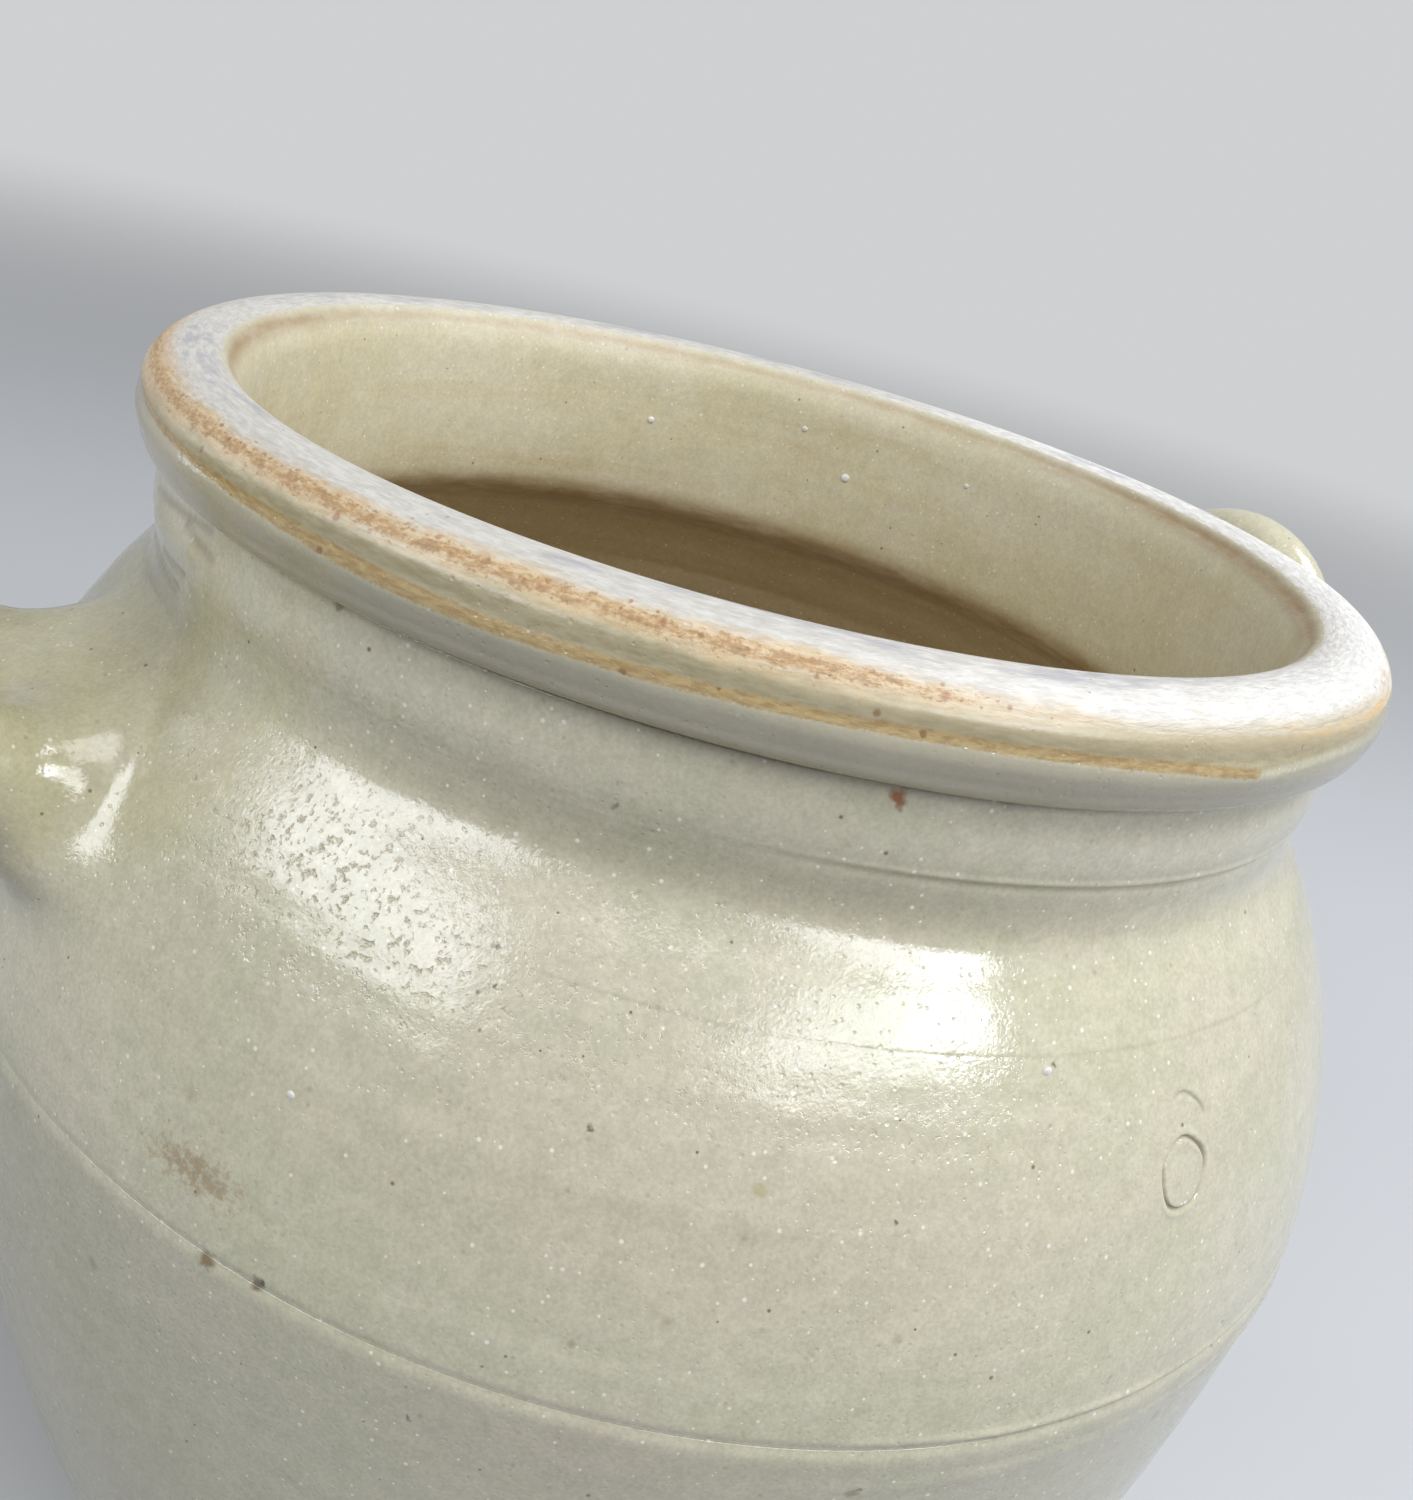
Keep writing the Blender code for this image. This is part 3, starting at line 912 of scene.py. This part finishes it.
def rim_glazed(s, along, streak, broad):
    """The rim's glazed side: greyish below, then khaki, with a ragged ochre line."""
    s.over(s.tone("under", broad), s.mask("under"), 0.75)
    khaki = s.step(s.sum(s.product(streak, 0.5), s.product(broad, 0.5)), 0.36, 0.62)
    s.over(s.tone("khaki", khaki), s.mask("khaki"), 0.9)
    ragged = s.product(s.sum(s.noise(2300, 2, 0.7), broad), 0.8)
    ochre = s.step(s.sum(s.mask("ochre"), ragged), 1.12, 1.62)
    s.over(s.tone("ochre", s.step(s.noise(1900, 3, 0.7, along), 0.34, 0.66)), ochre, 0.85)
    s.tint("rust", s.dots(480, 0.24, 0.16, 0.5)[0], ochre, 0.75)


def rim_dry(s, dry, streak):
    """The dry white finish on top, lightened on the lit side as painted light, with creamy and
    peach stretches beside it.
    """
    chalk_and_lit_side = s.mask("chalk_and_lit_side")
    s.over(s.mix(s.step(streak, 0.3, 0.7), s.tone("dull", chalk_and_lit_side), s.tone("clear", chalk_and_lit_side)), dry)
    s.tint("soot", s.dots(560, 0.13, 0.30, 0.6)[0], dry, 0.6)
    s.over(s.tone("cream", streak), s.mask("cream"), 0.75)
    s.over(s.tone("peach", streak), s.mask("peach"), 0.8)


def rim_toasted(s, toast, toasted, dashes, streak, broad):
    """The toasted band: a tan ground, brown dashes and dark flecks."""
    tan = s.sum(s.product(toast, 0.9), s.sum(broad, s.product(dashes, 0.9)))
    s.over(s.tone("tan", s.step(streak, 0.3, 0.7)), s.step(tan, 1.10, 1.75), 0.85)
    s.over(s.tone("toast", s.step(dashes, 0.50, 0.68)), toasted, 0.75)
    thick = s.product(toast, toast)
    fleck, fleck_tone = s.dots(860, 0.34, s.product(thick, 0.42), 0.6)
    s.over(s.tone("fleck", fleck_tone), fleck, 0.7)
    big_share = s.sum(s.product(thick, 0.40), s.product(s.mask("khaki"), 0.12))
    big_fleck, big_tone = s.dots(430, 0.24, big_share, 0.6)
    s.over(s.tone("big_fleck", big_tone), big_fleck, 0.75)


def rim_stained(s, broad):
    """The orange, smudged and brown stretches, over the other finishes."""
    s.tint("orange", s.mask("orange"), s.step(broad, 0.35, 0.6))
    patchy = s.step(s.noise(30, 3, 0.6), 0.36, 0.56)
    s.tint("smudge", s.mask("smudge"), s.step(broad, 0.44, 0.66), patchy, 0.7)
    s.tint("brown", s.mask("brown"), s.step(broad, 0.2, 0.7, 0.5, 0.9))


def glaze_roughness(s, inner, dry, toasted):
    rough = s.step(s.noise(320, 3, 0.6), 0.3, 0.7, 0.07, 0.14)
    for value, *shares in (
        (0.55, dry), (0.30, inner, 0.6), (0.42, s.mask("khaki"), 0.8),
        (0.60, s.mask("satin")), (0.45, toasted, 0.6),
    ):
        rough = s.blend(s.product(*shares), rough, value)
    return rough


def glaze_bump(s, inner, hole, streak):
    """The glaze's fine orange peel and its pits, and the grain of the dry rim."""
    pit = s.product(s.dots(1000, 0.30, 0.45, 0.9)[0], -0.8)
    peel = s.sum(s.sum(s.product(s.noise(1700, 3, 0.6), 0.8), s.noise(420, 2, 0.5)), pit)
    strength = s.step(s.noise(26, 2, 0.5), 0.36, 0.56, 0.35, 0.75)
    peel = s.product(peel, strength, s.blend(inner, 1.0, 0.35))
    peel = s.sum(peel, s.product(hole, -1.1))
    bump = s.add("ShaderNodeBump")
    bump.inputs["Strength"].default_value = 1.0
    bump.inputs["Distance"].default_value = BUMP_REACH
    s.put(bump.inputs["Height"], s.blend(s.mask("dry"), peel, s.product(streak, 2.2)))
    return bump.outputs[0]


def salt_glaze():
    """Grey-beige stoneware under salt glaze, with the dry, toasted rim."""
    s = Shader("salt_glaze")
    inner = s.mask("inner")
    hole = s.product(s.step(s.noise(850, 3, 0.65), 0.54, 0.74), s.mask("coarse"))
    along = s.drawn_out(0.25)
    streak = s.noise(1500, 3, 0.65, along)
    broad = s.noise(420, 3, 0.6, along)
    dry = s.step(s.sum(s.mask("dry"), s.product(streak, 0.5)), 0.5, 0.9)
    toast = s.mask("toast")
    dashes = s.product(s.noise(1250, 3, 0.7, s.drawn_out(0.4)), 0.65)
    dashes = s.sum(s.product(s.noise(1700, 2, 0.7), 0.35), dashes)
    toasted = s.step(s.sum(s.product(toast, 0.50), s.product(dashes, 1.2)), 0.93, 1.12)
    body_colour(s, inner)
    spotted(s, hole)
    marked(s)
    rim_glazed(s, along, streak, broad)
    rim_dry(s, dry, streak)
    rim_toasted(s, toast, toasted, dashes, streak, broad)
    rim_stained(s, broad)
    s.put(s.bsdf.inputs["Base Color"], s.colour)
    s.put(s.bsdf.inputs["Roughness"], glaze_roughness(s, inner, dry, toasted))
    s.put(s.bsdf.inputs["Normal"], glaze_bump(s, inner, hole, streak))
    s.bsdf.inputs["IOR"].default_value = GLAZE_IOR
    return s.material


# Spacing of the points along the rim's section in rim radii, and along the floor's corner
RIM_SPACING = 0.0036
CORNER_SPACING = 0.001
# Heights down the walls, as (from, to, step), finer where there is small relief
UPPER_RUNS = (
    (0.2214, 0.2128, 0.0005), (0.2128, 0.2094, 0.00012), (0.2094, 0.1934, 0.0006),
    (0.1934, 0.1915, 0.00009), (0.1915, 0.1872, 0.0006), (0.1872, 0.1728, 0.00016),
    (0.1728, 0.1500, 0.0007), (0.1500, SEAM + SEAM_GAP, 0.00012),
)
LOWER_RUNS = (
    (SEAM - SEAM_GAP, 0.1440, 0.00016), (0.1440, 0.1180, 0.0009), (0.1180, 0.004, 0.0013),
)
FLOOR_CORNER = (
    (0.058, FLOOR_TOP), (0.0655, 0.0092), (0.0715, 0.0108), (0.0755, 0.0126), (0.078, 0.015),
)


def upper_rows():
    """The upper half's closed section."""
    inside = bezier(UPPER_INSIDE, 48)
    inside = inside[inside[:, 0] > RIM_LINE[0][0] * RIM + 0.0006]
    rim = traced(RIM_LINE, RIM_SPACING) * RIM
    rim[:, 1] += RIM_HEIGHT
    along = np.gradient(rim, axis=0)
    along /= np.linalg.norm(along, axis=1, keepdims=True)
    end = SEAM + SEAM_GAP
    heights = np.append(runs(UPPER_RUNS), end)
    return np.concatenate([
        section(*inside.T, "inside", -1.0),
        section(*rim.T, "rim", -along[:, 1], along[:, 0]),
        section(spline(WALL_HEIGHTS, WALL_RADII, heights), heights, "wall"),
        section([LAP_RADIUS, STEP_RADIUS, STEP_RADIUS], [end, end, SEAM + STEP_RISE]),
    ])


def lower_rows():
    """The lower half's section, from its floor to its base."""
    top = SEAM - SEAM_GAP
    edge = STEP_RADIUS - SEAM_GAP
    heights = np.append(runs(LOWER_RUNS), 0.0040)
    return np.concatenate([
        section([0.02, 0.04, 0.058], FLOOR_TOP),
        section(*traced(FLOOR_CORNER, CORNER_SPACING)[1:-1].T),
        section(*bezier(LOWER_INSIDE, 70).T, "inside", -1.0),
        section([edge, edge, LAP_RADIUS], [SEAM + STEP_RISE - SEAM_GAP, top, top]),
        section(spline(WALL_HEIGHTS, WALL_RADII, heights), heights, "wall"),
        section([0.0838, 0.0832, 0.0822, 0.0810], [0.0024, 0.0012, 0.0004, 0.0000]),
        section([0.0790, 0.05, 0.02], [0.0000, 0.0002, 0.0002]),
    ])


def turned_outward(mesh):
    """Flips the faces if they point in."""
    every = max(1, len(mesh.polygons) // 4000)
    if sum(f.normal.dot(f.center) * f.area for f in list(mesh.polygons)[::every]) < 0:
        mesh.flip_normals()


glaze = salt_glaze()
upper = turned_body(
    "upper_body_glazed", upper_rows(),
    turn_steps(0.75, ((-66, -46, 0.25), (38.4, 44.0, 0.08))), True, glaze,
)
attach(upper, "root")
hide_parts("upper_body")
lower = turned_body("lower_body_glazed", lower_rows(), turn_steps(1.0, ()), False, glaze)
turned_outward(lower.data)
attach(lower, "root")
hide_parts("lower_body")
handle_piece("handle_right_glazed", 0.0, "handle_right", glaze)
handle_piece("handle_left_glazed", math.pi, "handle_left", glaze)


# Small bumps under the glaze, outside (1) and inside (-1) the pot: side, share, radius
BLISTERS = (
    (1, 28.9, -0.374, 0.0007), (1, -16.7, -0.569, 0.0006), (1, 38.0, -1.02, 0.0007),
    (-1, 168, -0.12, 0.0010), (-1, 176, -0.04, 0.0007), (-1, -161, -0.10, 0.0008),
    (-1, 150, -0.05, 0.0006),
)
BLISTER_HEIGHT = 0.45
BLISTER_SUNK = 0.12


def bead(first, rows=9, columns=18):
    """A ball's points, and its faces as numbered from the first given."""
    points, faces = [], []
    for row in range(rows):
        polar = math.pi * row / (rows - 1)
        for column in range(columns if 0 < row < rows - 1 else 1):
            around = math.tau * column / columns
            wide = math.sin(polar)
            points.append((math.cos(polar), wide * math.cos(around), wide * math.sin(around)))
    ring = [first + 1 + columns * row for row in range(rows - 2)]
    for column in range(columns):
        after = (column + 1) % columns
        faces.append((first, ring[0] + column, ring[0] + after))
        for here, below in zip(ring[:-1], ring[1:]):
            faces.append((here + column, below + column, below + after, here + after))
        faces.append((ring[-1] + column, ring[-1] + columns, ring[-1] + after))
    return points, faces


def blisters(material):
    """All the small bumps, as one piece."""
    line = np.array(RIM_LINE[:8])
    points, faces = [], []
    for out, side, share, size in BLISTERS:
        turn = CAMERA_SIDE + math.radians(side)
        place = wall_point(side, share)
        if out < 0:
            place = place_at(turn, RIM * float(np.interp(share, line[:, 1], line[:, 0])), share)
        spin = Matrix.Rotation(turn, 3, "Z")
        ball, ball_faces = bead(len(points))
        for x, y, z in ball:
            x = BLISTER_HEIGHT * x - BLISTER_SUNK * out
            points.append(tuple(place + spin @ Vector((x, y, z)) * size))
        faces += ball_faces
    chalky = {"dry": np.full(len(points), 0.75), "chalk_and_lit_side": np.ones(len(points))}
    piece = mesh_object("glaze_blisters", np.array(points), faces, chalky, material)
    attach(piece, "root")


blisters(glaze)

# The camera, fitted to the photograph: its place in rim radii from the rim's middle, its aim
# and roll in radians, its lens and shift in the photograph's pixels
CAMERA_REACH = 2.346
CAMERA_RISE = 0.526
CAMERA_PAN = -0.060
CAMERA_TILT = -0.189
CAMERA_ROLL = 0.247
FOCAL_PIXELS = 1402.03
CENTRE_SHIFT = (-97.54, -27.26)
LONG_SIDE = 1500


def place_camera():
    """The photograph's own view of the pot."""
    place = Vector((CAMERA_REACH, 0, CAMERA_RISE))
    forward = -place.normalized()
    right = forward.cross(Vector((0, 0, 1))).normalized()
    up = right.cross(forward)
    aim = (forward + math.tan(CAMERA_PAN) * right + math.tan(CAMERA_TILT) * up).normalized()
    level = aim.cross(Vector((0, 0, 1))).normalized()
    above = level.cross(aim)
    right = math.cos(CAMERA_ROLL) * level + math.sin(CAMERA_ROLL) * above
    up = -math.sin(CAMERA_ROLL) * level + math.cos(CAMERA_ROLL) * above
    turn = Matrix.Rotation(CAMERA_SIDE, 3, "Z")
    axes = Matrix([turn @ right, turn @ up, turn @ -aim]).transposed()
    data = bpy.data.cameras.new("camera")
    data.sensor_width = 36
    data.lens = FOCAL_PIXELS * data.sensor_width / LONG_SIDE
    data.shift_x = -CENTRE_SHIFT[0] / LONG_SIDE
    data.shift_y = CENTRE_SHIFT[1] / LONG_SIDE
    data.clip_start = 0.01
    camera = bpy.data.objects.new("camera", data)
    stand = turn @ place * RIM + Vector((0, 0, RIM_HEIGHT))
    camera.matrix_world = Matrix.Translation(stand) @ axes.to_4x4()
    bpy.context.scene.collection.objects.link(camera)
    bpy.context.scene.camera = camera


# Lamps: name, side and rise in degrees, distance, size, power, colour
LAMPS = (
    ("window_left", -46, 29.5, 1.5, (1.16, 0.50), 9.0, (0.95, 0.98, 1.03)),
    ("window_right_low", 41, 27.5, 1.5, (0.95, 0.22), 3.9, (0.96, 0.99, 1.04)),
    ("window_right_high", 46, 36, 1.5, (0.66, 0.14), 1.8, (0.96, 0.99, 1.04)),
    ("window_edge", 57, 30, 1.45, (0.22, 0.26), 2.0, (0.96, 0.99, 1.04)),
    ("window_side", -97, 15, 1.5, (0.20, 1.00), 2.6, (1.0, 1.0, 1.0)),
    ("overhead", 14, 61, 1.5, (1.10, 0.75), 6.8, (1.0, 1.0, 1.01)),
    ("overhead_right", 98, 50, 1.5, (0.90, 0.65), 18, (0.97, 0.99, 1.04)),
)
LAMP_AIM = (0, 0, 0.19)
# The floor and the backdrop as they are seen, and what they send back onto the pot
PALE = (0.56, 0.57, 0.58)
BOUNCE = (0.13, 0.13, 0.13)
BACKDROP = (0.62, 0.63, 0.64)
AMBIENT = (0.135, 0.138, 0.144)
FLOOR_RADIUS = 3.0
FLOOR_FADE = (0.7, 2.4)


def lamp(name, side, rise, distance, size, power, colour):
    """A soft rectangular lamp that faces the pot's shoulder."""
    data = bpy.data.lights.new(name, "AREA")
    data.shape = "RECTANGLE"
    data.size, data.size_y = size
    data.energy = power
    data.color = colour
    turn = CAMERA_SIDE + math.radians(side)
    rise = math.radians(rise)
    level = math.cos(rise)
    away = Vector((math.cos(turn) * level, math.sin(turn) * level, math.sin(rise)))
    made = bpy.data.objects.new(name, data)
    made.location = Vector(LAMP_AIM) + away * distance
    made.rotation_mode = "QUATERNION"
    made.rotation_quaternion = (-away).to_track_quat("-Z", "Y")
    bpy.context.scene.collection.objects.link(made)


def stage():
    """A pale floor that fades into a pale backdrop."""
    bpy.ops.mesh.primitive_circle_add(
        vertices=96, radius=FLOOR_RADIUS, fill_type="NGON", location=(0, 0, 0))
    floor = bpy.context.object
    floor.name = "floor"
    s = Shader("floor")
    s.put(s.bsdf.inputs["Base Color"], s.mix(s.looked_at(), BOUNCE, PALE))
    s.bsdf.inputs["Roughness"].default_value = 0.9
    s.bsdf.inputs["Specular IOR Level"].default_value = 0.1
    length = s.vector("LENGTH", s.place)["Value"]
    s.put(s.bsdf.inputs["Alpha"], s.step(length, *FLOOR_FADE, 1.0, 0.0))
    floor.data.materials.append(s.material)

    world = bpy.context.scene.world or bpy.data.worlds.new("world")
    bpy.context.scene.world = world
    world.use_nodes = True
    sky = Nodes(world.node_tree)
    sky.tree.nodes.clear()
    shade = sky.add("ShaderNodeBackground")
    sky.put(shade.inputs["Color"], sky.mix(sky.looked_at(), AMBIENT, BACKDROP))
    sky.put(sky.add("ShaderNodeOutputWorld").inputs["Surface"], shade.outputs[0])


place_camera()
for settings in LAMPS:
    lamp(*settings)
stage()
bpy.context.scene.view_settings.view_transform = "Standard"
